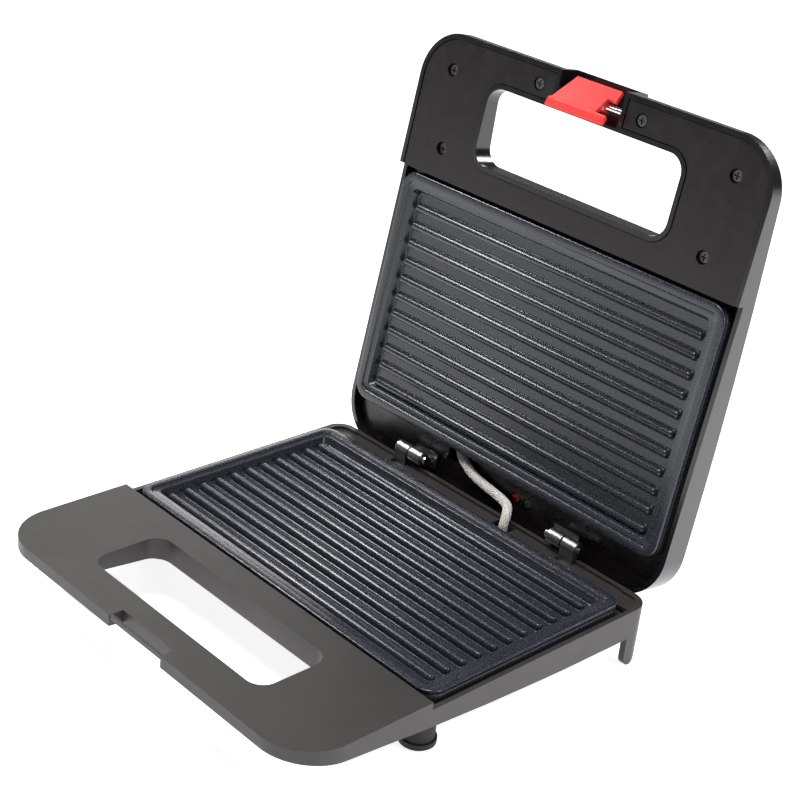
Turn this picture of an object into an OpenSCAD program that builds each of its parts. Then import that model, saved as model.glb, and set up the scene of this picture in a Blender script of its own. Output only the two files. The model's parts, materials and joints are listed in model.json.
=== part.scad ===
// Panini press with two hinged halves, ribbed plates and a latch lever across the handles.
// The press stands on z = 0, +Y points to the hinge and the lid is drawn open.
// Both halves are drawn by their depth from the parting plane, then placed as base or lid.

/* [Plates] */
// Width of each heating plate
plate_w = 220; // [180:1:250]
// Depth of each heating plate
plate_d = 132; // [110:1:160]
// Corner radius of each plate
plate_r = 9; // [5:0.5:14]
// Width of the flat rim around the ribbed floor
rim_w = 8; // [6:0.5:9]
// Depth of the ribbed floor below the rim
floor_drop = 5; // [3:0.5:6]
// Thickness of the plate under its floor
floor_t = 2.5; // [2:0.1:3]
// Radius of the round top of a rib
rib_r = 2.2; // [1.4:0.1:2.6]
// Height of a rib over the floor
rib_h = 3.4; // [2.6:0.1:4.5]
// Distance from one rib to the next
rib_pitch = 10.2; // [8:0.1:10.4]
// Number of ribs on each plate
rib_count = 11; // [7:1:11]
// Shift of the base plate's ribs from its middle
base_rib_shift = -1.5; // [-4:0.1:0]
// Shift of the lid plate's ribs from its middle
lid_rib_shift = 3.3; // [0:0.1:4]

/* [Housings] */
// Thickness of the plastic walls
wall = 2.6; // [2:0.1:3.2]
// Gap between a plate's side and the wall beside it
side_gap = 2.4; // [2:0.1:5]
// Gap between a plate's front edge and the handle block
front_gap = 2.5; // [2:0.5:8]
// Depth of the handle block in front of the tray
handle_d = 76; // [70:1:92]
// Corner radius at the front of the handles
front_r = 26; // [16:1:30]
// Corner radius at the hinge end of the base
base_rear_r = 10; // [6:0.5:11]
// Corner radius at the hinge end of the lid
lid_rear_r = 27; // [20:1:30]
// How far the tray walls stand back from the handle's face
rim_step = 4; // [3:0.5:4.5]
// Depth of the handle at its front edge
front_t = 6.5; // [6:0.5:8]
// Depth of the handle behind the hand slot
slot_t = 12.6; // [11:0.2:14]
// Greatest depth of a housing
belly_t = 20.2; // [19.4:0.2:22]
// Gap between the two handles when the press is shut
shut_gap = 1; // [0.6:0.1:2]

/* [Handles] */
// Width of the bar in front of a hand slot
grip_bar = 20; // [18:0.5:24]
// Width of the bridge between a hand slot and the tray
slot_bridge = 15; // [13:0.5:20]
// Width of the handle on each side of a hand slot
slot_side = 51; // [44:1:58]
// Corner radius of a hand slot
slot_r = 9; // [6:0.5:12]
// Width of the latch notch in both handles
notch_w = 41.4; // [36:0.2:46]
// Margin of shell wall showing around the lid's handle cover
cover_margin = 3; // [2.8:0.1:4]

/* [Feet] */
// Height of the parting plane over the table
stand_h = 37; // [36:1:44]
// Diameter of a front foot
foot_d = 18; // [14:0.5:20]
// Distance of the front feet from the sides
foot_in = 17; // [16:1:34]
// Depth of a rear leg where it leaves the wall
leg_d = 15; // [13:0.5:20]

/* [Hinge] */
// Distance of the hinge axis behind the plates
hinge_back = 14.5; // [14.5:0.5:17]
// Height of the hinge axis over the parting plane
hinge_rise = 1; // [0.5:0.1:1.4]
// Diameter of a hinge pin
hinge_pin_d = 3; // [2.6:0.1:3.4]
// Outer diameter of a hinge knuckle
knuckle_d = 8; // [7:0.2:8.4]
// Length of one knuckle
knuckle_l = 9; // [7:0.5:10]
// Distance of each hinge from the middle
hinge_x = 57; // [45:1:70]
// Angle of the open lid from shut
open_angle = 100; // [90:1:105]

/* [Latch] */
// Distance of the latch pin behind the handle's front edge
latch_pin_y = 10.5; // [10:0.1:11]
// Depth of the latch pin behind the parting plane
latch_pin_depth = 3.2; // [3.1:0.1:3.6]
// Diameter of the latch pin
latch_pin_d = 3.4; // [3:0.1:3.8]
// Distance of the lever's face from the pin's axis
lever_face = 4.6; // [4.2:0.1:4.8]
// Thickness of the lever
lever_t = 2; // [1.6:0.1:2.2]
// Length of the lever above its pin
lever_up = 8.2; // [7:0.1:8.6]
// Length of the lever below its pin
lever_down = 13.7; // [13:0.1:14]
// Width of the lever at its upper edge
lever_top_w = 29; // [24:0.5:32]
// Lean of the resting lever from upright
lever_lean = 43; // [38:1:44]

/* [Hidden] */
$fn = 64;
eps = 0.01;
fit = 0.05;
// Plan of the halves
body_w = plate_w + 2 * (side_gap + wall);
tray_y = -plate_d / 2 - front_gap;
front_y = tray_y - handle_d;
hinge_y = plate_d / 2 + hinge_back;
base_rear_y = hinge_y + 0.8;
lid_rear_y = hinge_y + 11;
slot_y0 = front_y + grip_bar;
slot_y1 = tray_y - slot_bridge;
slot_w = body_w - 2 * slot_side;
// Depths from the parting plane
face_t = shut_gap / 2;
rim_t = face_t + rim_step;
plate_t = face_t + 0.5;
plate_floor = plate_t + floor_drop;
plate_back = plate_floor + floor_t;
pan_flange_t = 0.8;
ledge_t = plate_back + pan_flange_t;
ledge_h = 2;
frame_t = ledge_t + ledge_h;
plate_head_h = 1.2;
skin = 2;
element_r = 2.2;
element_t = plate_back + 0.1 + element_r;
pan_floor = element_t + element_r;
pan_t = 0.6;
hinge_z = stand_h + hinge_rise;
belly_end = plate_d / 2 + 8;
belly_run = belly_end - slot_y1;
belly_slope = 2 * (belly_t - slot_t) / belly_run;
belly_steps = 9;

// Depth of a half's outside at a place along Y, straight under the handle and then a parabola
function depth_at(y) = y < slot_y1
    ? front_t + (slot_t - front_t) * (y - front_y) / (slot_y1 - front_y)
    : y > belly_end ? belly_t : belly_t - belly_slope / (2 * belly_run) * pow(belly_end - y, 2);

// Places a part drawn by depth in the base
module in_base() {
    translate([0, row_y, stand_h]) mirror([0, 0, 1]) children();
}

// Places a part drawn by depth in the open lid
module in_lid() {
    translate([0, row_y + hinge_y, hinge_z]) rotate([-open_angle, 0, 0])
        translate([0, -hinge_y, stand_h - hinge_z]) children();
}

// Copies to the left and right
module both_sides() {
    children();
    mirror([1, 0, 0]) children();
}

// Rectangle with its own corner radius at the front and at the rear
module round_rect(w, y0, y1, r0, r1) {
    h = w / 2;
    polygon([[-h, y0 + r0], [-h + r0, y0], [h - r0, y0], [h, y0 + r0],
        [h, y1 - r1], [h - r1, y1], [-h + r1, y1], [-h, y1 - r1]]);
    for (s = [-1, 1]) {
        translate([s * (h - r0), y0 + r0]) circle(r0);
        translate([s * (h - r1), y1 - r1]) circle(r1);
    }
}

// Outline of a half, drawn in by a given distance
module half_outline(rear_y, rear_r, inset) {
    round_rect(body_w - 2 * inset, front_y + inset, rear_y - inset, front_r - inset, rear_r - inset);
}

// Outline of the handle alone, up to the tray
module handle_outline(inset) {
    intersection() {
        round_rect(body_w - 2 * inset, front_y + inset, tray_y + 60, front_r - inset, 5);
        translate([-body_w, front_y - 1]) square([2 * body_w, tray_y - front_y + 1]);
    }
}

module slot_outline(grow) {
    round_rect(slot_w + 2 * grow, slot_y0 - grow, slot_y1 + grow, slot_r + grow, slot_r + grow);
}

module notch_outline(grow, rear) {
    translate([-notch_w / 2 - grow, front_y - 1]) square([notch_w + 2 * grow, rear + grow + 1]);
}

// Slab between the outside and a front face, drawn as the side view and pushed along X
module side_slab(rear_y, top_handle, top_tray, cut) {
    ys = concat([front_y - 1], [for (i = [0 : belly_steps]) slot_y1 + i * belly_run / belly_steps],
        [rear_y + 1]);
    translate([-body_w, 0, 0]) rotate([90, 0, 90]) linear_extrude(2 * body_w)
        polygon(concat([[rear_y + 1, top_tray], [tray_y, top_tray], [tray_y, top_handle],
            [front_y - 1, top_handle]], [for (y = ys) [y, depth_at(y) - cut]]));
}

// The outside of one half as a full solid
module half_body(rear_y, rear_r) {
    intersection() {
        linear_extrude(belly_t + 10) half_outline(rear_y, rear_r, 0);
        side_slab(rear_y, face_t, rim_t, 0);
    }
}

// Ring of ledge that carries the plate, with its screw tabs
module plate_ledge(rear_y, rear_r) {
    translate([0, 0, ledge_t]) linear_extrude(ledge_h) difference() {
        intersection() {
            half_outline(rear_y, rear_r, wall / 2);
            translate([-body_w / 2, tray_y + 1]) square([body_w, plate_d + front_gap + 2]);
        }
        round_rect(plate_w - 4 * rim_w + 4, -plate_d / 2 + 1.8 * rim_w, plate_d / 2 - 1.8 * rim_w, 6, 6);
    }
}

screw_head_d = 5.6;
screw_px = plate_w / 2 - rim_w / 2;
screw_py = plate_d / 2 - rim_w / 2;
// The four places where screws pull a plate to its ledge
module plate_screw_places() {
    for (x = [-screw_px, screw_px], y = [-screw_py, screw_py]) translate([x, y, 0]) children();
}

/* Base */

deck_t = rim_t + 1.5;
deck_y = plate_d / 2 + 2;
leaf_d = base_rear_y - wall - deck_y - 1.2;
foot_x = body_w / 2 - foot_in;
foot_y = tray_y + 11;
foot_stem_d = 7;
lead_x = 20;
lead_hole_w = 12;
cover_x = body_w / 2 - 20;
cover_xy = [for (x = [-cover_x, cover_x], y = [front_y + 25, tray_y - 6]) [x, y]];
block_x = 11 - body_w / 2;
catch_t = 2.3;
catch_d = 1.4;
bore_stop = face_t + wall;
pocket_y = 7.7;
pocket_w = notch_w - 2;
leg_w = 16;
inlet_x = -70;
inlet_y = 54;
inlet_r = 5;

// Screw bosses of the base, closed at the top
module cover_bosses(r, top) {
    for (p = cover_xy) translate([p[0], p[1], top]) cylinder(r = r, h = depth_at(p[1]) - skin - top);
}

// Rear legs, each the corner wall carried down to the table
module rear_legs() {
    down = stand_h;
    intersection() {
        linear_extrude(down) difference() {
            half_outline(base_rear_y, base_rear_r, 0);
            half_outline(base_rear_y, base_rear_r, wall + 0.8);
        }
        translate([-body_w, 0, 0]) rotate([90, 0, 90]) linear_extrude(2 * body_w) union() {
            polygon([[base_rear_y - leg_d, rim_t], [base_rear_y + 1, rim_t], [base_rear_y + 1, down - 16],
                [base_rear_y - 4, down - 5], [base_rear_y - leg_d + 0.5, down - 5]]);
            translate([base_rear_y - leg_d + 5.5, down - 5]) circle(5);
            translate([base_rear_y - leg_d + 5.5, down - 5.5]) square([4, 4]);
        }
        both_sides() rotate([90, 0, 0]) translate([0, 0, -body_w]) linear_extrude(2 * body_w)
            polygon([[body_w / 2 - leg_w, rim_t], [body_w, rim_t], [body_w, down],
                [body_w / 2 - leg_w / 2, down]]);
    }
}

module base_housing() color("#2b2a2b") in_base() {
    difference() {
        union() {
            difference() {
                half_body(base_rear_y, base_rear_r);
                // Hollow under the handle's face, open below
                intersection() {
                    translate([0, 0, face_t + wall]) linear_extrude(40) difference() {
                        handle_outline(wall);
                        slot_outline(wall);
                        notch_outline(wall, pocket_y);
                    }
                    translate([-body_w, front_y, 0]) cube([2 * body_w, tray_y - front_y - wall / 2, 60]);
                }
                // Tray above and below the ledge
                linear_extrude(belly_t + 10) intersection() {
                    half_outline(base_rear_y, base_rear_r, wall);
                    translate([-body_w, tray_y + wall / 2]) square([2 * body_w, plate_d + 100]);
                }
            }
            plate_ledge(base_rear_y, base_rear_r);
            // Deck behind the plate
            intersection() {
                translate([0, 0, deck_t]) linear_extrude(skin)
                    half_outline(base_rear_y, base_rear_r, wall / 2);
                translate([-body_w, deck_y, 0]) cube([2 * body_w, 60, 60]);
            }
            cover_bosses(4, face_t + wall / 2);
            rear_legs();
        }
        translate([0, 0, -1]) linear_extrude(60) slot_outline(0);
        latch_notch();
        plate_screw_places() translate([0, 0, ledge_t - 1]) cylinder(d = 3.4, h = 10);
        cover_bosses_bores();
        hinge_deck_cuts();
        translate([lead_x - lead_hole_w / 2, deck_y + 3, deck_t - 1]) cube([lead_hole_w, 7, skin + 2]);
        base_leaf_screw_places() translate([0, 0, deck_t - 1]) cylinder(d = 2.3, h = 4);
        // Room for the cover's skin inside the walls
        cover_room();
    }
}

module cover_bosses_bores() {
    for (p = cover_xy) translate([p[0], p[1], bore_stop]) cylinder(d = 2.6, h = 40);
}

// Cuts the housing's inner ribs back where the bottom cover lies
module cover_room() {
    intersection() {
        linear_extrude(belly_t + 20) difference() {
            half_outline(base_rear_y, base_rear_r, wall);
            slot_outline(wall);
            notch_outline(wall, pocket_y);
        }
        difference() {
            translate([-body_w, front_y, 0]) cube([2 * body_w, base_rear_y - front_y, belly_t + 1]);
            side_slab(base_rear_y, -1, -1, skin);
        }
    }
}

// Notch at the front with its pocket, leaving the catch bar across the front
module latch_notch() {
    difference() {
        translate([-pocket_w / 2, front_y - 1, -1]) cube([pocket_w, pocket_y + 1, 30]);
        translate([-pocket_w, front_y + 0.4, 0]) cube([2 * pocket_w, catch_d, face_t + catch_t]);
    }
}

module hinge_deck_cuts() {
    both_sides() translate([hinge_x + 0.2, hinge_y - 6.5, -1])
        cube([knuckle_l + 0.6, 12, deck_t + skin + 3.2]);
}

module base_bottom_cover() color("#1f1f20") in_base() difference() {
    intersection() {
        linear_extrude(belly_t + 10) difference() {
            half_outline(base_rear_y, base_rear_r, wall + fit);
            slot_outline(wall + fit);
            notch_outline(wall + fit, pocket_y);
        }
        difference() {
            side_slab(base_rear_y, -1, -1, 0);
            side_slab(base_rear_y, -2, -2, skin);
        }
    }
    for (p = cover_xy) translate([p[0], p[1], 0]) cylinder(d = 3.2, h = 40);
    for (p = cover_xy) translate([p[0], p[1], depth_at(p[1]) - 0.4]) cylinder(d = screw_head_d + 1, h = 5);
    plate_screw_places() cylinder(d = screw_head_d + 0.8, h = frame_t + plate_head_h + 0.3);
    both_sides() translate([foot_x, foot_y, 0]) cylinder(d = foot_stem_d + 2 * fit, h = 40);
    translate([inlet_x, inlet_y, 0]) cylinder(r = inlet_r + fit, h = 40);
    vent_cuts();
}

// Rows of vent slots under the plates
module vent_cuts() {
    for (row = [-1, 1], i = [-4 : 4]) translate([i * 12 - 1.5, row * 24 - 9, 0]) cube([3, 18, 40]);
}

module front_feet() color("#161616") both_sides() {
    difference() {
        translate([foot_x, row_y + foot_y, 0]) foot_body();
        in_base() side_slab(base_rear_y, -1, -1, 0);
    }
    translate([foot_x, row_y + foot_y, 1]) cylinder(d = foot_stem_d, h = stand_h - ledge_t - ledge_h - 1.1);
}

// Turned body of a foot with a rounded sole, taller than its room so that the cover trims it
module foot_body() {
    sole_r = 1.5;
    rotate_extrude() {
        translate([0, sole_r]) square([foot_d / 2 - 1, stand_h - slot_t]);
        square([foot_d / 2 - sole_r - 1, 4]);
        intersection() {
            translate([foot_d / 2 - sole_r - 1, sole_r]) circle(sole_r);
            square([foot_d, foot_d]);
        }
        translate([foot_d / 2 - sole_r - 1, sole_r]) square([sole_r + 1, 3]);
    }
}

module base_cover_screws() color("#9a9a9a") in_base() for (p = cover_xy)
    translate([p[0], p[1], depth_at(p[1]) - 0.4])
        cross_screw(screw_head_d, 1.6, 2.4, min(8, depth_at(p[1]) - bore_stop - 2));

// Pan head screw with its point toward -Z and its head outward
module cross_screw(head_d, head_h, d, length) {
    difference() {
        union() {
            cylinder(d = head_d, h = head_h);
            translate([0, 0, -length]) cylinder(d = d, h = length + eps);
            translate([0, 0, -length - 1]) cylinder(d1 = 0.8, d2 = d, h = 1);
        }
        for (a = [0, 90]) rotate([0, 0, a]) translate([-head_d * 0.32, -0.4, head_h * 0.35])
            cube([head_d * 0.64, 0.8, head_h]);
    }
}

/* Plates */

// One ribbed plate with its screw bosses
module ribbed_plate(shift) {
    rib_l = plate_w - 2 * rim_w - 6;
    rib_axis = plate_floor - rib_h + rib_r;
    difference() {
        union() {
            difference() {
                translate([0, 0, plate_t]) linear_extrude(plate_back - plate_t)
                    round_rect(plate_w, -plate_d / 2, plate_d / 2, plate_r, plate_r);
                translate([0, 0, plate_t - 1]) linear_extrude(1.6) groove_outline();
                translate([0, 0, plate_t - 1]) linear_extrude(floor_drop + 1) floor_outline(rim_w);
            }
            for (i = [0 : rib_count - 1])
                translate([0, shift + (i - (rib_count - 1) / 2) * rib_pitch, 0]) rib(rib_l, rib_axis);
        }
        plate_screw_places() translate([0, 0, plate_back - 4.5]) cylinder(d = 2.6, h = 6);
    }
}

module floor_outline(inset) {
    round_rect(plate_w - 2 * inset, -plate_d / 2 + inset, plate_d / 2 - inset, 5, 5);
}

// Shallow groove line between the rim's outer bead and its inner land
module groove_outline() {
    difference() {
        floor_outline(3.2);
        floor_outline(4.2);
    }
}

module rib(length, axis) {
    straight = length - 2 * rib_r;
    translate([-straight / 2, 0, axis]) rotate([0, 90, 0]) cylinder(r = rib_r, h = straight);
    for (s = [-1, 1]) translate([s * straight / 2, 0, axis]) sphere(rib_r);
    translate([0, 0, axis]) linear_extrude(plate_floor - axis + 0.5) {
        square([straight, 2 * rib_r], center = true);
        for (s = [-1, 1]) translate([s * straight / 2, 0]) circle(rib_r);
    }
}

module base_plate() color("#3b3f47") in_base() ribbed_plate(base_rib_shift);

module lid_plate() color("#3b3f47") in_lid() ribbed_plate(lid_rib_shift);

/* Heating */

element_half_d = plate_d / 2 - 34;
element_leg_x = -plate_w / 2 + 32;
// U-shaped tubular element with its cold ends turned to the hinge side
module heating_element() {
    bend = element_half_d;
    run = plate_w - 64 - bend;
    for (s = [-1, 1]) translate([element_leg_x, s * bend, element_t]) rotate([0, 90, 0])
        cylinder(r = element_r, h = run);
    translate([element_leg_x + run, 0, element_t]) rotate([0, 0, -90])
        rotate_extrude(angle = 180) translate([bend, 0]) circle(element_r);
    for (s = [-1, 1]) translate([element_leg_x - 8, s * bend, element_t]) rotate([0, 90, 0])
        cylinder(r = 1.1, h = 8 + eps);
    for (s = [-1, 1]) translate([element_leg_x - 12.5, s * bend - 2.4, element_t - 0.4]) cube([5, 4.8, 0.8]);
}

module base_heating_element() color("#8a8d90") in_base() heating_element();

module lid_heating_element() color("#8a8d90") in_lid() heating_element();

// Thin steel pan behind a plate, with a flange on the ledge
module reflector_pan(hole_r) {
    pan_w = plate_w - 4 * rim_w;
    pan_d = 2 * (element_half_d + element_r + pan_t + 1);
    difference() {
        union() {
            translate([0, 0, plate_back]) linear_extrude(pan_flange_t)
                round_rect(plate_w - 2, -plate_d / 2 + 1, plate_d / 2 - 1, plate_r - 1, plate_r - 1);
            translate([0, 0, plate_back]) linear_extrude(pan_floor + pan_t - plate_back)
                round_rect(pan_w, -pan_d / 2, pan_d / 2, 5, 5);
        }
        translate([0, 0, plate_back - 1]) linear_extrude(pan_floor - plate_back + 1)
            round_rect(pan_w - 2 * pan_t, -pan_d / 2 + pan_t, pan_d / 2 - pan_t, 5 - pan_t, 5 - pan_t);
        plate_screw_places() translate([0, 0, plate_back - 1]) cylinder(d = 3.4, h = 4);
        translate([0, 0, plate_back]) cylinder(r = hole_r, h = 20);
    }
}

module base_reflector() color("#b9bcbf") in_base() reflector_pan(10);

module lid_reflector() color("#b9bcbf") in_lid() reflector_pan(5);

module plate_screws() {
    plate_screw_places() translate([0, 0, frame_t]) cross_screw(screw_head_d, plate_head_h, 2.5, 5.6);
}

module base_plate_screws() color("#9a9a9a") in_base() plate_screws();

module lid_plate_screws() color("#9a9a9a") in_lid() plate_screws();

/* Electrical parts */

// Snap disc thermostat under the middle of the base plate
module thermostat() color("#d8d2c4") in_base() {
    translate([0, 0, plate_back]) cylinder(d = 16, h = 2.5);
    translate([0, 0, plate_back + 2.5]) cylinder(d = 14, h = 3.5);
    for (s = [-1, 1]) translate([s * 4.5 - 1.6, -0.4, plate_back + 6]) cube([3.2, 0.8, 1.6]);
}

// One-shot fuse in its sleeve, lying in the pan between the element's legs
module thermal_fuse() color("#e8e3d8") in_base() {
    translate([-60, 0, pan_floor - 2]) rotate([0, 90, 0]) cylinder(r = 2, h = 24);
    translate([-68, 0, pan_floor - 2]) rotate([0, 90, 0]) cylinder(r = 0.6, h = 40);
}

// Two-pole ceramic terminal block under the rear deck
module terminal_block() color("#efece4") in_base() difference() {
    translate([block_x, deck_y + 1, deck_t + skin]) cube([22, 8, 8]);
    for (x = [block_x + 6, block_x + 16]) {
        translate([x, deck_y, deck_t + skin + 4]) rotate([-90, 0, 0]) cylinder(r = 1.5, h = 12);
        translate([x, deck_y + 5, deck_t + skin + 4]) cylinder(r = 1.3, h = 8);
    }
}

// Bush in the bottom cover through which the mains cord would pass
module cord_inlet() color("#1a1a1a") in_base() translate([inlet_x, inlet_y, depth_at(inlet_y)]) difference() {
    union() {
        translate([0, 0, -skin - 1.4]) cylinder(r = inlet_r + 1.2, h = 1.2);
        translate([0, 0, -skin - 1]) cylinder(r = inlet_r, h = skin + 2);
        translate([0, 0, 0.1]) cylinder(r = inlet_r + 1.2, h = 1.3);
        translate([0, 0, 1]) cylinder(r = 4.4, h = 6);
    }
    translate([0, 0, -5]) cylinder(r = 3.2, h = 20);
}

/* Hinges */

module base_hinge_brackets() color("#4a4a4c") in_base() both_sides() {
    arm_x = hinge_x + 0.5;
    axis = -hinge_rise;
    difference() {
        union() {
            translate([arm_x, hinge_y, axis]) rotate([0, 90, 0]) cylinder(d = knuckle_d, h = knuckle_l);
            translate([arm_x, hinge_y - knuckle_d / 2, axis])
                cube([knuckle_l, 4.5, deck_t + skin + 2 - axis]);
            translate([arm_x - 4, deck_y + 1, deck_t + skin]) cube([knuckle_l + 8, leaf_d, 2]);
        }
        translate([arm_x - 5, hinge_y, axis]) rotate([0, 90, 0])
            cylinder(d = hinge_pin_d + 2 * fit, h = knuckle_l + 10);
        for (x = [arm_x - 2, arm_x + knuckle_l + 2])
            translate([x, deck_y + 4.5, 0]) cylinder(d = 2.3, h = 30);
    }
}

// Places of the screws through the base's hinge leaves
module base_leaf_screw_places() {
    both_sides() for (x = [hinge_x - 1.5, hinge_x + knuckle_l + 2.5])
        translate([x, deck_y + 4.5, 0]) children();
}

module base_hinge_screws() color("#8c8c8c") in_base() base_leaf_screw_places()
    translate([0, 0, deck_t + skin + 2]) cross_screw(3.6, 1.2, 2.2, 3.2);

module hinge_pins() color("#c8c8ca") both_sides()
    translate([hinge_x - knuckle_l - 2, row_y + hinge_y, hinge_z]) rotate([0, 90, 0]) {
        cylinder(d = hinge_pin_d, h = 2 * knuckle_l + 4);
        translate([0, 0, -1]) cylinder(d = hinge_pin_d + 1.6, h = 1);
    }

module lid_hinge_brackets() color("#4a4a4c") in_lid() both_sides() {
    arm_x = hinge_x - knuckle_l - 0.5;
    difference() {
        union() {
            translate([arm_x, hinge_y, hinge_rise]) rotate([0, 90, 0]) cylinder(d = knuckle_d, h = knuckle_l);
            translate([arm_x, hinge_y - 4.5 + knuckle_d / 2, hinge_rise])
                cube([knuckle_l, 4.5, ledge_t - hinge_rise]);
            translate([arm_x - 4, hinge_y - 4, ledge_t - 2]) cube([knuckle_l + 8, 9, 2]);
        }
        translate([arm_x - 5, hinge_y, hinge_rise]) rotate([0, 90, 0])
            cylinder(d = hinge_pin_d + 2 * fit, h = knuckle_l + 10);
        for (x = [arm_x - 2, arm_x + knuckle_l + 2]) translate([x, hinge_y, 0]) cylinder(d = 2.3, h = 30);
    }
}

// Places of the screws through the lid's hinge leaves
module lid_leaf_screw_places() {
    both_sides() for (x = [hinge_x - knuckle_l - 2.5, hinge_x + 1.5]) translate([x, hinge_y, 0]) children();
}

module lid_hinge_screws() color("#8c8c8c") in_lid() lid_leaf_screw_places()
    translate([0, 0, ledge_t - 2]) mirror([0, 0, 1]) cross_screw(3.6, 1.2, 2.2, 3.6);

/* Lid */

cover_t0 = face_t + 0.5;
cover_t1 = cover_t0 + 2.2;
cup_floor = 1.2;
// Depth of the cup round a handle screw, and the length of its screw, kept inside the shell's skin
function cup_at(y) = min(cover_t1 + 2.4, depth_at(y - 5) - wall - 0.1);
function cup_screw_l(y) = min(3.6, depth_at(y) - 2 - cup_at(y) + cup_floor);
lid_notch_y = grip_bar - 1.6;
hood_in = latch_pin_depth + sqrt(pow(lever_up, 2) + pow(lever_face, 2)) + 0.6;
// Rearmost point of the open lid, and the shift that puts the origin under the middle of the press
reach_y = hinge_y + (front_y - hinge_y) * cos(open_angle) + (hood_in + skin - hinge_rise) * sin(open_angle);
row_y = -(front_y + reach_y) / 2;
lens_xs = [13.5, 22];
lens_y = hinge_y - 4;
lens_d = 5;
lid_lead_x = -29;
lid_screw_xy = [[slot_w / 2 + 29, front_y + 19.6], [slot_w / 2 + 24, tray_y - 15.2], [33.5, front_y + 10.7]];

module lid_shell() color("#151516") in_lid() difference() {
    union() {
        difference() {
            half_body(lid_rear_y, lid_rear_r);
            intersection() {
                translate([0, 0, -1]) linear_extrude(60) difference() {
                    half_outline(lid_rear_y, lid_rear_r, wall);
                    slot_outline(wall);
                    notch_outline(wall, lid_notch_y);
                }
                side_slab(lid_rear_y, -1, -1, wall);
            }
        }
        latch_hood();
        intersection() {
            both_sides() for (p = lid_screw_xy)
                translate([p[0], p[1], cup_at(p[1])]) cylinder(r = 3.8, h = 30);
            side_slab(lid_rear_y, 0, 0, wall / 2);
        }
    }
    translate([0, 0, -1]) linear_extrude(60) slot_outline(0);
    translate([-notch_w / 2, front_y - 1, -1]) cube([notch_w, lid_notch_y + 1, hood_in + 1]);
    translate([-notch_w / 2 - 1.8, front_y + latch_pin_y, latch_pin_depth]) rotate([0, 90, 0])
        cylinder(d = latch_pin_d + 2 * fit, h = notch_w + 3.6);
    both_sides() for (p = lid_screw_xy) translate([p[0], p[1], cup_at(p[1]) - cup_floor])
        cylinder(d = 2.5, h = cup_screw_l(p[1]) + 1.2);
    plate_screw_places() translate([0, 0, frame_t - 1])
        cylinder(d = screw_head_d + 0.8, h = plate_head_h + 1.2);
    for (x = lens_xs) translate([x, lens_y, 0]) cylinder(d = lens_d + 2 * fit, h = 40);
}

// Raised hood on the back of the handle that gives the lever room to swing
module latch_hood() {
    translate([0, 0, face_t]) linear_extrude(hood_in + skin - face_t) intersection() {
        translate([-notch_w / 2 - wall, front_y]) square([notch_w + 2 * wall, grip_bar]);
        half_outline(lid_rear_y, lid_rear_r, 0);
    }
}

// Inner moulding of the lid: handle cover, plate ledge and hinge deck in one piece
module lid_inner_frame() color("#232324") in_lid() difference() {
    union() {
        translate([0, 0, cover_t0]) linear_extrude(cover_t1 - cover_t0) difference() {
            handle_outline(cover_margin);
            slot_outline(cover_margin);
            notch_outline(cover_margin, lid_notch_y);
        }
        both_sides() for (p = lid_screw_xy) translate([p[0], p[1], cover_t0])
            cylinder(r = 4.6, h = cup_at(p[1]) - cover_t0);
        // Skirt between the handle cover and the ledge
        intersection() {
            translate([-body_w, tray_y - skin, cover_t0])
                cube([2 * body_w, skin + 0.5, ledge_t + 1 - cover_t0]);
            linear_extrude(60) half_outline(lid_rear_y, lid_rear_r, cover_margin);
        }
        translate([0, 0, ledge_t]) linear_extrude(ledge_h) difference() {
            intersection() {
                half_outline(lid_rear_y, lid_rear_r, cover_margin);
                translate([-body_w, tray_y]) square([2 * body_w, 400]);
            }
            round_rect(plate_w - 4 * rim_w + 4, -plate_d / 2 + 1.8 * rim_w, plate_d / 2 - 1.8 * rim_w, 6, 6);
        }
    }
    both_sides() for (p = lid_screw_xy) translate([p[0], p[1], 0]) {
        translate([0, 0, -1]) cylinder(d = 7, h = cup_at(p[1]) - cup_floor + 1);
        cylinder(d = 3.1, h = 40);
    }
    plate_screw_places() translate([0, 0, ledge_t - 1]) cylinder(d = 3.4, h = 10);
    lid_leaf_screw_places() translate([0, 0, ledge_t - 1]) cylinder(d = 2.3, h = 10);
    for (x = lens_xs) translate([x, lens_y, 0]) cylinder(d = lens_d + 1, h = 40);
    translate([lid_lead_x - 9, plate_d / 2 - 2, 0]) cube([18, 11.6, 40]);
}

// The six screws that hold the inner frame to the shell
module lid_cover_screws() color("#6d6d70") in_lid() both_sides() for (p = lid_screw_xy)
    translate([p[0], p[1], cup_at(p[1]) - cup_floor]) mirror([0, 0, 1])
        cross_screw(screw_head_d, 1.6, 2.4, cup_screw_l(p[1]));

module lamp_holder() color("#d9d4c8") in_lid() difference() {
    translate([lens_xs[0] - 6, lens_y - 5.5, frame_t]) cube([lens_xs[1] - lens_xs[0] + 12, 11, 2]);
    for (x = lens_xs) translate([x, lens_y, 0]) cylinder(d = lens_d + 1, h = 40);
    for (x = lens_xs) translate([x, lens_y - 4.2, 0]) cylinder(d = 2.1, h = 40);
}

// Two neon lamps standing in the holder beside their lenses
module indicator_lamps() color("#e6b08a") in_lid() for (x = lens_xs) translate([x, lens_y - 4.2, frame_t]) {
    cylinder(d = 2, h = 4.4);
    translate([0, 0, 4.4]) sphere(d = 2);
}

module lens(x) {
    top = depth_at(lens_y);
    translate([x, lens_y, 0]) {
        translate([0, 0, ledge_t + 0.4]) cylinder(d = lens_d, h = top - ledge_t + 0.6);
        translate([0, 0, top]) cylinder(d = lens_d + 2, h = 0.8);
        translate([0, 0, top + 0.8]) cylinder(d1 = lens_d + 2, d2 = lens_d, h = 0.6);
    }
}

module power_lens() color("#c81e12") in_lid() lens(lens_xs[0]);

module ready_lens() color("#3f7d2a") in_lid() lens(lens_xs[1]);

/* Latch */

lever_tip_w = pocket_w - 1;
lever_boss_r = latch_pin_d / 2 + fit + 0.8;
gap_x0 = 10.5;
block_r = 7.2;

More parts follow.
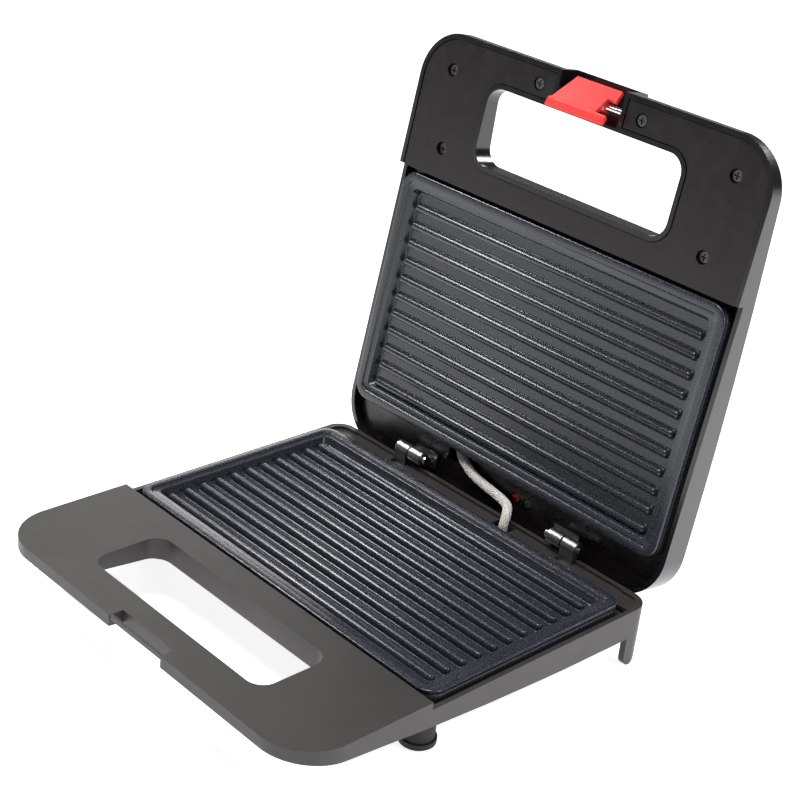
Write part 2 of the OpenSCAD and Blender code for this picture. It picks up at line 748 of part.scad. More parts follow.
// Places a part drawn about the latch pin, with its own -Z along the lever
module at_latch_pin() {
    in_lid() translate([0, front_y + latch_pin_y, latch_pin_depth]) children();
}

module latch_pin() color("#d4d6d8") at_latch_pin()
    translate([-notch_w / 2 - 1.6, 0, 0]) rotate([0, 90, 0]) cylinder(d = latch_pin_d, h = notch_w + 3.2);

module lever_profile() {
    f = -lever_face;
    polygon([[f, lever_up], [f, -lever_down + 5.2], [f - 0.9, -lever_down + 4.2],
        [f - 0.9, -lever_down + 2.8],
        [f + lever_t * 0.6, -lever_down], [f + lever_t, -lever_down], [f + lever_t, lever_up]]);
}

module latch_lever() color("#d8393a") at_latch_pin() rotate([lever_lean, 0, 0]) difference() {
    union() {
        intersection() {
            translate([-40, 0, 0]) rotate([90, 0, 90]) linear_extrude(80) lever_profile();
            rotate([90, 0, 0]) translate([0, 0, -20]) linear_extrude(40)
                polygon([[-lever_top_w / 2, lever_up + 1], [lever_top_w / 2, lever_up + 1],
                    [lever_tip_w / 2, -lever_down - 1], [-lever_tip_w / 2, -lever_down - 1]]);
        }
        translate([-lever_top_w / 2 - 1, 0, 0]) rotate([0, 90, 0])
            cylinder(r = lever_boss_r, h = lever_top_w / 2 + 1 + gap_x0 - 0.5);
        for (x = [-lever_top_w / 2 - 1, -2, gap_x0 - 3.5])
            translate([x, -lever_face + lever_t / 2, -lever_boss_r * 0.9])
                cube([3, lever_face - lever_t / 2, lever_boss_r * 1.8]);
        // Block behind the face that balances the lever about its pin
        intersection() {
            translate([-lever_top_w / 2 + 1.5, -3, 0]) cube([lever_top_w / 2 + 7, 8.5, 5.5]);
            translate([-40, 0, 0]) rotate([0, 90, 0]) cylinder(r = block_r, h = 80);
        }
    }
    translate([-40, 0, 0]) rotate([0, 90, 0]) cylinder(d = latch_pin_d + 2 * fit, h = 80);
    // Corner cut back to clear the pin's end
    translate([gap_x0, -20, -lever_down + 4.6]) cube([20, 40, lever_down - 4.6 + 1.2]);
}

/* Lead */

lead_r = 2.7;
lead_sides = 12;
// Route of the sleeved lead from the hinge axis, out of the base's deck hole to behind the lid's plate
lead_path = [[lead_x, -5.4, -15], [lead_x, -5.4, -9], [19.8, -4.8, -5], [18.4, -2.2, -1.4], [14.5, 1.6, 0.6],
    [6, 3.6, 1.6], [-4, 4.4, 2.6], [-14, 5.2, 4.2], [-21.5, 6.6, 6.6], [-27.5, 8.9, 8.6],
    [-31.5, 12.2, 9.4], [-34.2, 15, 11], [-36, 16.2, 14.6]];

function unit(v) = v / norm(v);
// A point on the smooth curve through the route, t counted in points
function on_path(p, t) =
    let (n = len(p) - 1, i = min(floor(t), n - 1), f = t - i,
        a = p[max(i - 1, 0)], b = p[i], c = p[i + 1], d = p[min(i + 2, n)])
    0.5 * ((2 * b) + (c - a) * f + (2 * a - 5 * b + 4 * c - d) * f * f + (3 * b - a - 3 * c + d) * f * f * f);
function carry(n, t) = unit(n - (n * t) * t);
function frames(tan, i, acc) = i == len(tan) ? acc
    : frames(tan, i + 1, concat(acc, [carry(acc[i - 1], tan[i])]));

module lead_sleeve() color("#d9d3c6") {
    n = 3 * (len(lead_path) - 1);
    pts = [for (i = [0 : n]) on_path(lead_path, i * (len(lead_path) - 1) / n)];
    tan = [for (i = [0 : n]) unit(pts[min(i + 1, n)] - pts[max(i - 1, 0)])];
    nor = frames(tan, 1, [carry([1, 0, 0], tan[0])]);
    ring = [for (i = [0 : n], k = [0 : lead_sides - 1]) pts[i] + lead_r
        * (cos(360 * k / lead_sides) * nor[i] + sin(360 * k / lead_sides) * cross(tan[i], nor[i]))];
    side = [for (i = [0 : n - 1], k = [0 : lead_sides - 1]) let (m = (k + 1) % lead_sides)
        [i * lead_sides + k, i * lead_sides + m, (i + 1) * lead_sides + m, (i + 1) * lead_sides + k]];
    translate([0, row_y + hinge_y, hinge_z])
        polyhedron(ring, concat([[for (k = [lead_sides - 1 : -1 : 0]) k]], side,
            [[for (k = [0 : lead_sides - 1]) n * lead_sides + k]]));
}

base_housing();
base_bottom_cover();
base_plate();
base_heating_element();
base_reflector();
thermostat();
thermal_fuse();
terminal_block();
cord_inlet();
base_cover_screws();
base_plate_screws();
front_feet();
base_hinge_brackets();
base_hinge_screws();
hinge_pins();
lead_sleeve();
lid_shell();
lid_inner_frame();
lid_plate();
lid_heating_element();
lid_reflector();
lid_cover_screws();
lid_plate_screws();
lid_hinge_brackets();
lid_hinge_screws();
lamp_holder();
indicator_lamps();
power_lens();
ready_lens();
latch_pin();
latch_lever();
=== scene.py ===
"""Panini press, open on a white table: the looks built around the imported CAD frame.

Everything is in metres in the frame of the CAD part. +Z is up and +Y points to the hinge.
"""

import json
import math

import bmesh
import bpy
from mathutils import Matrix, Vector

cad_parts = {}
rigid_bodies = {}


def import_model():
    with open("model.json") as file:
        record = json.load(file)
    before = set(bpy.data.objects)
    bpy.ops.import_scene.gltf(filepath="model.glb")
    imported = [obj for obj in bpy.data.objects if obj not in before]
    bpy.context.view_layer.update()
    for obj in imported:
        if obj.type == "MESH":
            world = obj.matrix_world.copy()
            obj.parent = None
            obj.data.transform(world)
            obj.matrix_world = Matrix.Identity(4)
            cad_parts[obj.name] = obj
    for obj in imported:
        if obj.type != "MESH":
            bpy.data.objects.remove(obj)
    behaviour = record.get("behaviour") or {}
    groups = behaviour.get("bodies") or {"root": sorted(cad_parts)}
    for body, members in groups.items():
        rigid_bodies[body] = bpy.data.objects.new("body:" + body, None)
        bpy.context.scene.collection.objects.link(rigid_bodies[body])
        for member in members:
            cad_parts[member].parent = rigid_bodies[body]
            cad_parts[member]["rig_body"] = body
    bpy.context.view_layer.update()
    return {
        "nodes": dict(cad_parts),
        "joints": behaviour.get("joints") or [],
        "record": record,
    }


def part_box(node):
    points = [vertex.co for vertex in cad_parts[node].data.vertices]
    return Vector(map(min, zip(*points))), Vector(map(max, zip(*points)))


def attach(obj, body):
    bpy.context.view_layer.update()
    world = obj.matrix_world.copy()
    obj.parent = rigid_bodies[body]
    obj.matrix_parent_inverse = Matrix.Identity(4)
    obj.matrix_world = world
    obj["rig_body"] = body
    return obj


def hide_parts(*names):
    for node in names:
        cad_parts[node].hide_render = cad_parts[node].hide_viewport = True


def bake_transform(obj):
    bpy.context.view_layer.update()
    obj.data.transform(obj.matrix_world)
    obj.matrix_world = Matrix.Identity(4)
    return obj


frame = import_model()

MM = 0.001

# ---------------------------------------------------------------- where things are

hinge = next(j for j in frame["joints"] if j["name"] == "lid_hinge")
HINGE = Vector(hinge["pos_m"])
OPEN_ANGLE = math.radians(hinge["range_deg"][1])
base_lo, base_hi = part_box("base_plate")
PLATE_W = base_hi.x - base_lo.x
PLATE_D = base_hi.y - base_lo.y
PLATE_T = base_hi.z - base_lo.z  # from the rim to the back of a plate
PLATE_Y = (base_hi.y + base_lo.y) / 2
RIM_DEPTH = 1 * MM  # from the parting plane to a plate's rim
PARTING = base_hi.z + RIM_DEPTH  # height of the plane where the halves meet

# A part drawn by (x, y from a plate's centre, depth from the parting plane) goes to the base or
# to the open lid
TO_BASE = Matrix.Translation((0, PLATE_Y, PARTING)) @ Matrix.Diagonal((1, 1, -1, 1))
TO_LID = (
    Matrix.Translation(HINGE)
    @ Matrix.Rotation(-OPEN_ANGLE, 4, "X")
    @ Matrix.Translation((0, PLATE_Y - HINGE.y, PARTING - HINGE.z))
)

# ---------------------------------------------------------------- camera

CAMERA_AZIMUTH = math.radians(44.21)
CAMERA_ELEVATION = math.radians(25.96)
CAMERA_ROLL = math.radians(6.28)
CAMERA_DISTANCE = 809.74 * MM
CAMERA_LENS = 77.29  # for a 36 mm wide sensor
CAMERA_TARGET = Vector((14.0, -6.1 + PLATE_Y / MM, 123.7)) * MM


def make_camera():
    """A low three-quarter view from the front right, a little rolled."""
    a, e = CAMERA_AZIMUTH, CAMERA_ELEVATION
    back = Vector((math.sin(a) * math.cos(e), -math.cos(a) * math.cos(e), math.sin(e)))
    right = Vector((math.cos(a), math.sin(a), 0))
    up = back.cross(right)
    rolled_right = right * math.cos(CAMERA_ROLL) + up * math.sin(CAMERA_ROLL)
    rolled_up = up * math.cos(CAMERA_ROLL) - right * math.sin(CAMERA_ROLL)
    data = bpy.data.cameras.new("camera")
    data.lens = CAMERA_LENS
    data.sensor_width = 36
    data.clip_start, data.clip_end = 0.01, 50
    camera = bpy.data.objects.new("camera", data)
    bpy.context.scene.collection.objects.link(camera)
    turn = Matrix((rolled_right, rolled_up, back)).transposed().to_4x4()
    camera.matrix_world = (
        Matrix.Translation(CAMERA_TARGET + back * CAMERA_DISTANCE) @ turn
    )
    bpy.context.scene.camera = camera


# ---------------------------------------------------------------- materials


class Nodes:
    """Short names for building a material's node tree."""

    def __init__(self, name):
        self.material = bpy.data.materials.new(name)
        self.material.use_nodes = True
        self.tree = self.material.node_tree
        self.shader = self.tree.nodes["Principled BSDF"]
        self.place = self.tree.nodes.new("ShaderNodeTexCoord").outputs["Object"]

    def link(self, a, b):
        self.tree.links.new(a, b)

    def noise(self, scale, detail=3.0, stretch=None):
        """Noise at so many cells a metre, stretched along axes if asked."""
        node = self.tree.nodes.new("ShaderNodeTexNoise")
        node.inputs["Scale"].default_value = scale
        node.inputs["Detail"].default_value = detail
        place = self.place
        if stretch:
            mapping = self.tree.nodes.new("ShaderNodeMapping")
            mapping.inputs["Scale"].default_value = stretch
            self.link(place, mapping.inputs["Vector"])
            place = mapping.outputs["Vector"]
        self.link(place, node.inputs["Vector"])
        return node.outputs["Fac"]

    def ramp(self, factor, low, high, start=0.3, stop=0.7):
        """Colours or values spread over part of a factor's range."""
        node = self.tree.nodes.new("ShaderNodeValToRGB")
        ends = node.color_ramp.elements
        ends[0].position, ends[1].position = start, stop
        ends[0].color = (*low, 1) if isinstance(low, tuple) else (low, low, low, 1)
        ends[1].color = (*high, 1) if isinstance(high, tuple) else (high, high, high, 1)
        self.link(factor, node.inputs["Fac"])
        return node.outputs["Color"]

    def bump(self, height, distance, strength=1.0, below=None):
        node = self.tree.nodes.new("ShaderNodeBump")
        node.inputs["Distance"].default_value = distance
        node.inputs["Strength"].default_value = strength
        self.link(height, node.inputs["Height"])
        if below is not None:
            self.link(below, node.inputs["Normal"])
        return node.outputs["Normal"]

    def put(self, **sockets):
        """Sets or links the shader's sockets, named with underscores for spaces."""
        for name, value in sockets.items():
            socket = self.shader.inputs[name.replace("_", " ")]
            if isinstance(value, bpy.types.NodeSocket):
                self.link(value, socket)
            else:
                socket.default_value = (*value, 1) if isinstance(value, tuple) else value
        return self.material


def moulded_plastic(name, dark, light, rough, rough_spread, grain=0.02, coat=0.0):
    """Moulded plastic: faint clouding, a fine spark-eroded grain and uneven gloss."""
    n = Nodes(name)
    clouds = n.noise(35, 5)
    fine = n.noise(2600, 2)
    handled = n.noise(150, 5)
    normal = n.bump(fine, grain * MM, 0.5)
    return n.put(
        Base_Color=n.ramp(clouds, dark, light),
        Roughness=n.ramp(handled, rough - rough_spread, rough + rough_spread),
        Normal=normal,
        Coat_Weight=coat,
        Coat_Roughness=0.12,
    )


def brushed_metal(name, dark, light, rough, stretch, metallic=1.0):
    """Drawn or rolled metal with fine lines along one axis."""
    n = Nodes(name)
    lines = n.noise(900, 3, stretch)
    patches = n.noise(120, 4)
    return n.put(
        Base_Color=n.ramp(patches, dark, light),
        Roughness=n.ramp(lines, rough * 0.75, rough * 1.3),
        Normal=n.bump(lines, 0.02 * MM, 0.4),
        Metallic=metallic,
    )


def nonstick(name):
    """Sprayed non-stick coating: dark blue-grey with fine mineral flecks and orange peel."""
    n = Nodes(name)
    flecks = n.noise(1900, 1.5)
    peel = n.noise(520, 2)
    clouds = n.noise(40, 3)
    base = n.ramp(flecks, (0.012, 0.014, 0.021), (0.046, 0.051, 0.066), 0.42, 0.70)
    tint = n.tree.nodes.new("ShaderNodeMix")
    tint.data_type = "RGBA"
    tint.blend_type = "MULTIPLY"
    tint.inputs["Factor"].default_value = 1.0
    n.link(base, tint.inputs["A"])
    n.link(n.ramp(clouds, 0.8, 1.0), tint.inputs["B"])
    rough = n.ramp(flecks, 0.20, 0.30)
    normal = n.bump(peel, 0.05 * MM, 0.5, n.bump(flecks, 0.02 * MM, 0.5))
    return n.put(
        Base_Color=tint.outputs["Result"],
        Roughness=rough,
        Normal=normal,
        Specular_IOR_Level=0.6,
    )


def woven(name, dark, light):
    """Glass-fibre yarn: soft, slightly uneven in colour, with fine fibres."""
    n = Nodes(name)
    yarn = n.noise(700, 3)
    fibre = n.noise(4200, 2)
    return n.put(
        Base_Color=n.ramp(yarn, dark, light),
        Roughness=n.ramp(fibre, 0.62, 0.85),
        Normal=n.bump(fibre, 0.03 * MM, 0.6),
        Sheen_Weight=0.25,
    )


def clear_plastic(name, dark, light):
    """Coloured see-through lens over a lamp."""
    n = Nodes(name)
    clouds = n.noise(300, 2)
    return n.put(
        Base_Color=n.ramp(clouds, dark, light),
        Roughness=n.ramp(n.noise(800, 2), 0.08, 0.2),
        Transmission_Weight=0.35,
        Coat_Weight=0.4,
    )


def ceramic(name, dark, light):
    n = Nodes(name)
    grain = n.noise(1500, 3)
    return n.put(
        Base_Color=n.ramp(grain, dark, light),
        Roughness=n.ramp(grain, 0.5, 0.7),
        Normal=n.bump(grain, 0.03 * MM, 0.5),
    )


ALONG_X = (0.05, 1, 1)  # stretches a noise into lines along X
LOOKS = {
    "housing_black": moulded_plastic(
        "housing_black", (0.026, 0.022, 0.022), (0.034, 0.029, 0.029), 0.44, 0.02, 0.03
    ),
    "underside_black": moulded_plastic(
        "underside_black", (0.014, 0.014, 0.015), (0.020, 0.020, 0.021), 0.58, 0.05, 0.04
    ),
    "nonstick_coating": nonstick("nonstick_coating"),
    "element_steel": brushed_metal(
        "element_steel", (0.30, 0.29, 0.28), (0.42, 0.41, 0.40), 0.42, ALONG_X
    ),
    "pan_steel": brushed_metal(
        "pan_steel", (0.52, 0.52, 0.52), (0.62, 0.62, 0.62), 0.30, ALONG_X
    ),
    "ceramic_parts": ceramic("ceramic_parts", (0.66, 0.62, 0.54), (0.76, 0.73, 0.66)),
    "soft_black": moulded_plastic(
        "soft_black", (0.010, 0.010, 0.010), (0.018, 0.018, 0.018), 0.72, 0.06, 0.06
    ),
    "screw_steel": brushed_metal(
        "screw_steel", (0.40, 0.40, 0.40), (0.55, 0.55, 0.54), 0.32, (1, 1, 1)
    ),
    "dark_screws": brushed_metal(
        "dark_screws", (0.10, 0.10, 0.105), (0.17, 0.17, 0.175), 0.38, (1, 1, 1)
    ),
    "hinge_steel": brushed_metal(
        "hinge_steel", (0.26, 0.26, 0.27), (0.38, 0.38, 0.39), 0.34, ALONG_X
    ),
    "pin_chrome": brushed_metal(
        "pin_chrome", (0.72, 0.73, 0.74), (0.82, 0.82, 0.83), 0.12, (1, 0.1, 0.1)
    ),
    "sleeve_braid": woven("sleeve_braid", (0.74, 0.69, 0.62), (0.90, 0.87, 0.82)),
    "shell_gloss_black": moulded_plastic(
        "shell_gloss_black", (0.004, 0.004, 0.005), (0.007, 0.007, 0.008), 0.20, 0.03,
        0.0015, 0.3,
    ),
    # cover_black: the lid inner frame's own black plastic, darkened further as painted shade for the
    # shaded space below the lid plate
    "cover_black": moulded_plastic(
        "cover_black", (0.0065, 0.0050, 0.0045), (0.012, 0.0095, 0.0090), 0.27, 0.04, 0.006
    ),
    "lamp_holder_plastic": ceramic(
        "lamp_holder_plastic", (0.62, 0.58, 0.50), (0.70, 0.67, 0.60)
    ),
    "lamp_glass": clear_plastic("lamp_glass", (0.75, 0.35, 0.18), (0.85, 0.50, 0.30)),
    "lens_red": clear_plastic("lens_red", (0.36, 0.012, 0.008), (0.46, 0.02, 0.012)),
    "lens_green": clear_plastic("lens_green", (0.05, 0.075, 0.02), (0.08, 0.11, 0.03)),
    "latch_red": moulded_plastic(
        "latch_red", (0.80, 0.045, 0.042), (0.88, 0.060, 0.054), 0.30, 0.04, 0.006, 0.2
    ),
}


def slot_of(node):
    """The record's material slot of a CAD node."""
    return next(s["material_slot"] for s in frame["record"]["subparts"] if s["node"] == node)


def paint(obj, slot):
    obj.data.materials.clear()
    obj.data.materials.append(LOOKS[slot])


# ---------------------------------------------------------------- mesh helpers


def new_piece(name, verts, faces, slot):
    mesh = bpy.data.meshes.new(name)
    mesh.from_pydata([tuple(v) for v in verts], [], faces)
    mesh.update()
    obj = bpy.data.objects.new(name, mesh)
    bpy.context.scene.collection.objects.link(obj)
    mesh.polygons.foreach_set("use_smooth", [True] * len(mesh.polygons))
    paint(obj, slot)
    return obj


def keep_edges(obj, degrees):
    """Smooth shading that stays crisp over edges sharper than this."""
    bm = bmesh.new()
    bm.from_mesh(obj.data)
    limit = math.radians(degrees)
    for e in bm.edges:
        if len(e.link_faces) == 2:
            e.smooth = e.calc_face_angle(0) < limit
    bm.to_mesh(obj.data)
    bm.free()


def apply_modifiers(obj):
    dg = bpy.context.evaluated_depsgraph_get()
    done = bpy.data.meshes.new_from_object(obj.evaluated_get(dg))
    obj.modifiers.clear()
    old = obj.data
    obj.data = done
    bpy.data.meshes.remove(old)


MERGE_DISTANCE = 2e-6
FLAT_ANGLE = math.radians(0.8)  # faces closer to one plane than this are joined
BEVEL_ANGLE = math.radians(35)  # sharper edges than this are rounded over
CRISP_ANGLE = 40  # degrees, sharper edges than this stay crisp in a rounded copy
PLATE_CRISP_ANGLE = 60


def rounded_copy(node, width):
    """A copy of a CAD node with its flat faces joined up and its sharp edges rounded over."""
    source = frame["nodes"][node]
    obj = bpy.data.objects.new("look_" + node, source.data.copy())
    bpy.context.scene.collection.objects.link(obj)
    bm = bmesh.new()
    bm.from_mesh(obj.data)
    bmesh.ops.remove_doubles(bm, verts=bm.verts, dist=MERGE_DISTANCE)
    bmesh.ops.dissolve_degenerate(bm, edges=bm.edges, dist=MERGE_DISTANCE / 2)
    bmesh.ops.dissolve_limit(bm, angle_limit=FLAT_ANGLE, verts=bm.verts, edges=bm.edges)
    bm.to_mesh(obj.data)
    bm.free()
    bevel = obj.modifiers.new("bevel", "BEVEL")
    bevel.width = width
    bevel.segments = 2
    bevel.limit_method = "ANGLE"
    bevel.angle_limit = BEVEL_ANGLE
    bevel.miter_outer = "MITER_ARC"
    bevel.use_clamp_overlap = True
    bevel.harden_normals = False
    apply_modifiers(obj)
    obj.data.polygons.foreach_set("use_smooth", [True] * len(obj.data.polygons))
    keep_edges(obj, CRISP_ANGLE)
    weighted = obj.modifiers.new("weighted", "WEIGHTED_NORMAL")
    weighted.keep_sharp = True
    weighted.weight = 80
    slot = slot_of(node)
    paint(obj, slot)
    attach(obj, source["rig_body"])
    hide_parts(node)
    return obj


def rounded_rect(w, d, r, corner_steps=10):
    """Points round a rectangle with round corners, centred on the origin."""
    pts = []
    for cx, cy, a0 in ((1, 1, 0), (-1, 1, 90), (-1, -1, 180), (1, -1, 270)):
        for k in range(corner_steps + 1):
            a = math.radians(a0 + 90 * k / corner_steps)
            pts.append((cx * (w / 2 - r) + r * math.cos(a), cy * (d / 2 - r) + r * math.sin(a)))
    return pts


def arc(cx, cz, r, a0, a1, steps):
    """Points of an arc in a profile, angles in degrees."""
    return [
        (cx + r * math.cos(math.radians(a0 + (a1 - a0) * k / steps)),
         cz + r * math.sin(math.radians(a0 + (a1 - a0) * k / steps)))
        for k in range(steps + 1)
    ]


class Builder:
    """Collects vertices and faces of one mesh from loops of equal length."""

    def __init__(self):
        self.verts, self.faces = [], []

    def loop(self, pts):
        start = len(self.verts)
        self.verts.extend(Vector(p) for p in pts)
        return list(range(start, start + len(pts)))

    def bridge(self, a, b):
        n = len(a)
        for i in range(n):
            j = (i + 1) % n
            self.faces.append((a[i], a[j], b[j], b[i]))

    def skin(self, loops, cap_first=False, cap_last=False):
        for a, b in zip(loops, loops[1:]):
            self.bridge(a, b)
        if cap_first:
            self.faces.append(tuple(reversed(loops[0])))
        if cap_last:
            self.faces.append(tuple(loops[-1]))

    def piece(self, name, place, slot, body):
        verts = [place @ v for v in self.verts]
        obj = new_piece(name, verts, self.faces, slot)
        bm = bmesh.new()
        bm.from_mesh(obj.data)
        bmesh.ops.recalc_face_normals(bm, faces=bm.faces)
        bm.to_mesh(obj.data)
        bm.free()
        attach(obj, body)
        return obj


# ---------------------------------------------------------------- grill plates

PLATE_R = 9 * MM
LIP_R = 0.9 * MM  # rounding of the plate's outer edge
BEAD_W = 4.2 * MM  # outer band of the rim
STEP_H = 0.7 * MM  # drop from the outer band to the inner land
LAND_END = 8.4 * MM  # where the rim turns down to the floor
WALL_RUN = 1.6 * MM  # how far the wall leans in on its way down
FILLET = 0.9 * MM
FLOOR_DROP = 5 * MM
RIB_R = 2.2 * MM
RIB_H = 3.4 * MM
RIB_PITCH = 10.2 * MM
RIB_COUNT = 11
RIB_END = 11.2 * MM  # from the plate's side to a rib's end
RIB_FOOT = 0.7 * MM  # fillet where a rib meets the floor
END_STEPS = 12  # round each end of a rib
BASE_RIB_SHIFT = -1.5 * MM  # of the middle rib from the middle of its plate
LID_RIB_SHIFT = 3.3 * MM


def rim_profile():
    """Distance in from the plate's edge and depth, from the back's edge over the rim to the floor."""
    top, floor = RIM_DEPTH, RIM_DEPTH + FLOOR_DROP
    back = RIM_DEPTH + PLATE_T
    pts = [(0.6 * MM, back), (0, back - 0.6 * MM), (0, top + 2.9 * MM)]
    pts += [(0.25 * MM, top + 2.6 * MM), (0.25 * MM, top + LIP_R + 0.4 * MM), (0, top + LIP_R)]
    pts += [(LIP_R + x, top + LIP_R + z) for x, z in arc(0, 0, LIP_R, 180, 270, 5)][1:]
    pts += arc(BEAD_W, top + 0.35 * MM, 0.35 * MM, 270, 360, 3)
    pts += [(BEAD_W + 0.5 * MM, top + STEP_H - 0.12 * MM), (BEAD_W + 0.75 * MM, top + STEP_H)]
    land = top + STEP_H
    pts += arc(LAND_END - 0.6 * MM, land + 0.6 * MM, 0.6 * MM, 270, 340, 4)
    pts += arc(LAND_END + WALL_RUN + FILLET * 0.7, floor - FILLET, FILLET, 160, 90, 5)
    return pts


def rib_loops(builder, y, length):
    """A round-topped rib with round ends and a small fillet at its foot."""
    floor = RIM_DEPTH + FLOOR_DROP
    straight = length / 2 - RIB_R
    side = RIB_H - RIB_R
    profile = [(RIB_R + RIB_FOOT, 0.0)]
    profile += [
        (RIB_R + RIB_FOOT * (1 - math.sin(math.radians(a))), RIB_FOOT * (1 - math.cos(math.radians(a))))
        for a in (25, 50, 75, 90)
    ]
    profile.append((RIB_R, side))
    profile += [
        (RIB_R * math.cos(math.radians(a)), side + RIB_R * math.sin(math.radians(a)))
        for a in (15, 30, 45, 60, 75, 86)
    ]
    loops = []
    for r, h in profile:
        pts = []
        for end, a0 in ((1, -90), (-1, 90)):
            for k in range(END_STEPS + 1):
                a = math.radians(a0 + 180 * k / END_STEPS)
                pts.append((end * straight + r * math.cos(a), y + r * math.sin(a), floor - h))
        loops.append(builder.loop(pts))
    builder.skin(loops, cap_last=True)


def make_plate(node, place, shift):
    b = Builder()
    loops = []
    for inset, depth in rim_profile():
        r = max(PLATE_R - inset, 3.2 * MM)
        outline = rounded_rect(PLATE_W - 2 * inset, PLATE_D - 2 * inset, r)
        loops.append(b.loop([(x, y, depth) for x, y in outline]))
    b.skin(loops, cap_first=True, cap_last=True)
    for i in range(RIB_COUNT):
        rib_loops(b, shift + (i - (RIB_COUNT - 1) / 2) * RIB_PITCH, PLATE_W - 2 * RIB_END)
    body = frame["nodes"][node]["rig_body"]
    obj = b.piece("look_" + node, place, "nonstick_coating", body)
    keep_edges(obj, PLATE_CRISP_ANGLE)
    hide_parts(node)
    return obj


# ---------------------------------------------------------------- braided lead sleeve

# Route from the hinge axis, in millimetres: out of the base's deck, across, and up behind the
# lid's plate
LEAD_PATH = [
    (20, -5.4, -15), (20, -5.4, -9), (19.8, -4.8, -5), (18.4, -2.2, -1.4), (14.5, 1.6, 0.6),
    (6, 3.6, 1.6), (-4, 4.4, 2.6), (-14, 5.2, 4.2), (-21.5, 6.6, 6.6), (-27.5, 8.9, 8.6),
    (-31.5, 12.2, 9.4), (-34.2, 15, 11), (-36, 16.2, 14.6),
]
SLEEVE_R = 2.55 * MM
SLEEVE_STEP = 0.5 * MM
CORE_R = SLEEVE_R - 0.34 * MM
CORE_SIDES = 16
STRANDS = 12  # in each direction
STRAND_TURNS = 36  # turns per metre
STRAND_R = SLEEVE_R - 0.16 * MM
STRAND_RISE = 0.13 * MM  # how far a strand goes over and under the others
STRAND_HALF_W, STRAND_HALF_T = 0.50 * MM, 0.12 * MM


def smooth_path(points, step):
    """Points an even step apart on the Catmull-Rom curve through the given ones."""
    pts = [HINGE + Vector(p) * MM for p in points]
    dense = []
    for i in range(len(pts) - 1):
        a, b, c, d = pts[max(i - 1, 0)], pts[i], pts[i + 1], pts[min(i + 2, len(pts) - 1)]
        for k in range(20):
            f = k / 20
            dense.append(0.5 * ((2 * b) + (c - a) * f + (2 * a - 5 * b + 4 * c - d) * f * f
                                + (3 * b - a - 3 * c + d) * f ** 3))
    dense.append(pts[-1])
    out, run = [dense[0]], 0.0
    for p, q in zip(dense, dense[1:]):
        run += (q - p).length
        if run >= step:
            out.append(q)
            run = 0.0
    return out


def path_frames(path):
    """A tangent, normal and cross vector at each point, carried along without twist."""
    frames, normal = [], Vector((1, 0, 0))
    for i in range(len(path)):
        t = (path[min(i + 1, len(path) - 1)] - path[max(i - 1, 0)]).normalized()
        normal = (normal - t * normal.dot(t)).normalized()
        frames.append((t, normal, t.cross(normal)))
    return frames


def make_sleeve():
    """A core tube with two sets of flat yarns wound round it, over and under each other."""
    path = smooth_path(LEAD_PATH, SLEEVE_STEP)
    frames = path_frames(path)
    b = Builder()
    core = []
    for p, (_, n, c) in zip(path, frames):
        core.append(b.loop([
            p + (n * math.cos(a) + c * math.sin(a)) * CORE_R
            for a in (2 * math.pi * k / CORE_SIDES for k in range(CORE_SIDES))
        ]))
    b.skin(core, cap_first=True, cap_last=True)
    half_w, half_t = STRAND_HALF_W, STRAND_HALF_T
    for way in (1, -1):
        for s in range(STRANDS):
            loops = []
            for i, (p, (_, n, c)) in enumerate(zip(path, frames)):
                turn = way * 2 * math.pi * STRAND_TURNS * i * SLEEVE_STEP
                a = turn + 2 * math.pi * s / STRANDS
                weave = math.cos(STRANDS * turn + math.pi * s) * way
                r = STRAND_R + STRAND_RISE * weave
                out = n * math.cos(a) + c * math.sin(a)
                side = -n * math.sin(a) + c * math.cos(a)
                loops.append(b.loop([
                    p + out * (r + dz) + side * dx
                    for dx, dz in ((-half_w, 0), (0, half_t), (half_w, 0), (0, -half_t))
                ]))
            b.skin(loops, cap_first=True, cap_last=True)
    obj = b.piece("look_lead_sleeve", Matrix.Identity(4), "sleeve_braid", "base")
    obj.parent = None
    obj.matrix_world = Matrix.Identity(4)
    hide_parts("lead_sleeve")
    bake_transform(obj)
    return obj


# ---------------------------------------------------------------- floor and light


def make_stage():
    """A white table top that glows a little, so that the object's shadow on it stays faint."""
    bpy.ops.mesh.primitive_plane_add(size=12, location=(0, 0, -0.2 * MM))
    floor = bpy.context.object
    floor.name = "floor"
    n = Nodes("floor_white")
    tone = n.noise(3, 2)
    floor.data.materials.append(
        n.put(
            Base_Color=n.ramp(tone, 0.78, 0.80),
            Roughness=0.8,
            Specular_IOR_Level=0.1,
            Emission_Color=(1.0, 1.0, 1.0),
            Emission_Strength=0.86,
        )
    )


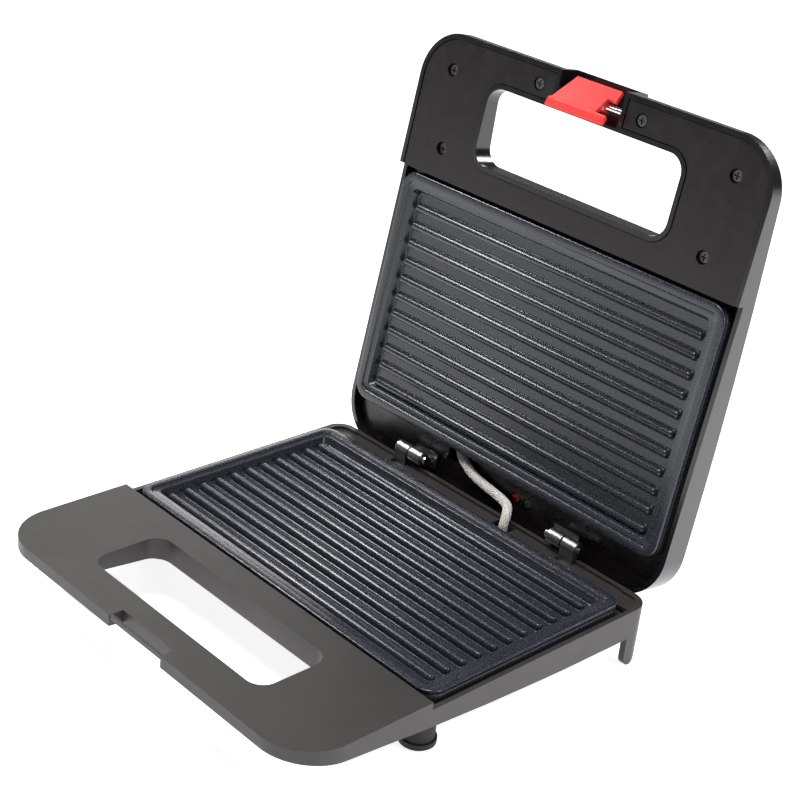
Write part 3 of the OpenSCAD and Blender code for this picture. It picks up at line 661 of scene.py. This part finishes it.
def area_light(name, place, target, size, power, tint=(1, 1, 1)):
    data = bpy.data.lights.new(name, "AREA")
    data.shape = "RECTANGLE"
    data.size, data.size_y = size
    data.energy = power
    data.color = tint
    light = bpy.data.objects.new(name, data)
    bpy.context.scene.collection.objects.link(light)
    place, target = Vector(place), Vector(target)
    turn = (target - place).to_track_quat("-Z", "Y").to_matrix().to_4x4()
    light.matrix_world = Matrix.Translation(place) @ turn


def make_lights():
    """Soft boxes behind, on both sides and overhead, in a dim grey studio."""
    world = bpy.data.worlds.new("studio")
    world.use_nodes = True
    background = world.node_tree.nodes["Background"]
    background.inputs["Color"].default_value = (0.96, 0.98, 1.0, 1)
    background.inputs["Strength"].default_value = 0.10
    bpy.context.scene.world = world
    middle = (0, 0, 0.08)
    area_light("back_left", (-1.6, 1.2, 0.8), middle, (0.7, 0.35), 4.5, (1.0, 0.96, 0.94))
    area_light("left", (-0.65, -0.1, 0.85), middle, (0.6, 0.10), 6)
    area_light("back", (0.3, 1.8, 1.3), middle, (1.0, 0.35), 22)
    area_light("overhead", (0.1, -0.3, 1.7), middle, (0.8, 0.4), 20)
    area_light("right", (1.5, 0.3, 0.7), middle, (0.3, 0.8), 8, (0.95, 0.97, 1.0))
    bpy.context.scene.view_settings.view_transform = "Standard"


# ---------------------------------------------------------------- build

for name, node in frame["nodes"].items():
    paint(node, slot_of(name))

make_camera()
make_plate("base_plate", TO_BASE, BASE_RIB_SHIFT)
make_plate("lid_plate", TO_LID, LID_RIB_SHIFT)
make_sleeve()
ROUNDED = {
    "base_housing": 0.7 * MM,
    "lid_shell": 0.6 * MM,
    "lid_inner_frame": 0.35 * MM,
    "base_bottom_cover": 0.4 * MM,
    "latch_lever": 0.35 * MM,
    "front_feet": 0.3 * MM,
    "base_hinge_brackets": 0.3 * MM,
    "lid_hinge_brackets": 0.3 * MM,
    "latch_pin": 0.3 * MM,
    "power_lens": 0.15 * MM,
    "ready_lens": 0.15 * MM,
    "lid_cover_screws": 0.12 * MM,
    "base_cover_screws": 0.12 * MM,
}
for name, width in ROUNDED.items():
    rounded_copy(name, width)
make_stage()
make_lights()
